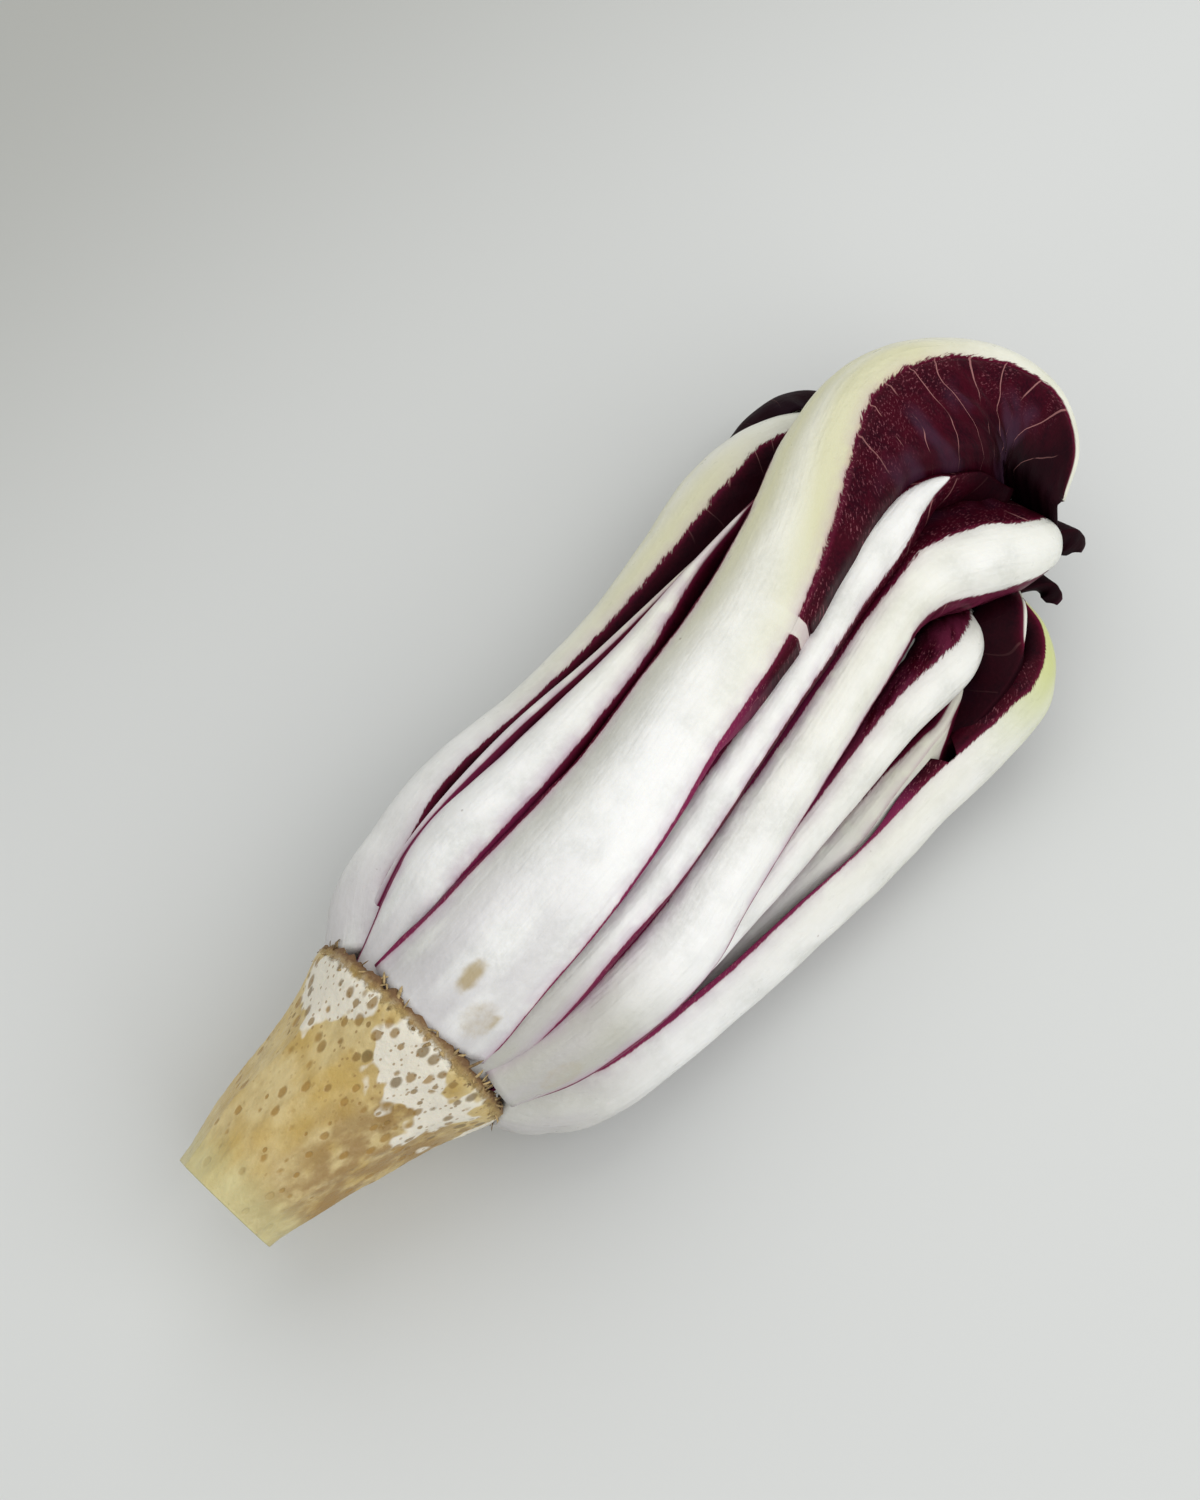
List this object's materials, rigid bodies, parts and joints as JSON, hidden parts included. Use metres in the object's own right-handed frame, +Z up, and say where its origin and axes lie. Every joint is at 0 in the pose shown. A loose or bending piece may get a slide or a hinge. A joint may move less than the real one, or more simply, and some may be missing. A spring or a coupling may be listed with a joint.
{
  "type": "radicchio head",
  "caption": "Whole head of late-harvest red radicchio lying on its side: trimmed taproot stub, long white-ribbed leaves with narrow crimson blades, tips hooked inwards.",
  "frame": {"origin": "on the surface the head lies on, under the middle of its box", "axes": "+X from the root to the leaf tips, +Y to the side where the top leaf's tip starts its hook, +Z up"},
  "size_m": [0.2064, 0.081, 0.0566],
  "materials": {
    "root": "peeled damp taproot, tan with brown spots and pale streaks",
    "leaf": "glossy waxy white rib passing into a crimson veined blade"
  },
  "bodies": {
    "root": {"root_stub": "root", "leaf_crown_hook": "leaf", "leaf_mid_curved": "leaf", "leaf_mid_narrow": "leaf", "leaf_right_outer": "leaf", "leaf_left_outer": "leaf", "leaf_left_shoulder": "leaf", "leaf_right_blunt": "leaf", "leaf_left_sliver": "leaf", "leaf_left_under": "leaf", "leaf_right_strip": "leaf", "leaf_right_heart": "leaf", "leaf_tip_upper": "leaf", "leaf_tip_lower": "leaf", "leaf_belly_left": "leaf", "leaf_belly_right": "leaf", "leaf_inner_left": "leaf", "leaf_inner_belly": "leaf", "leaf_inner_right": "leaf", "leaf_inner_upper": "leaf"}
  },
  "joints": []
}
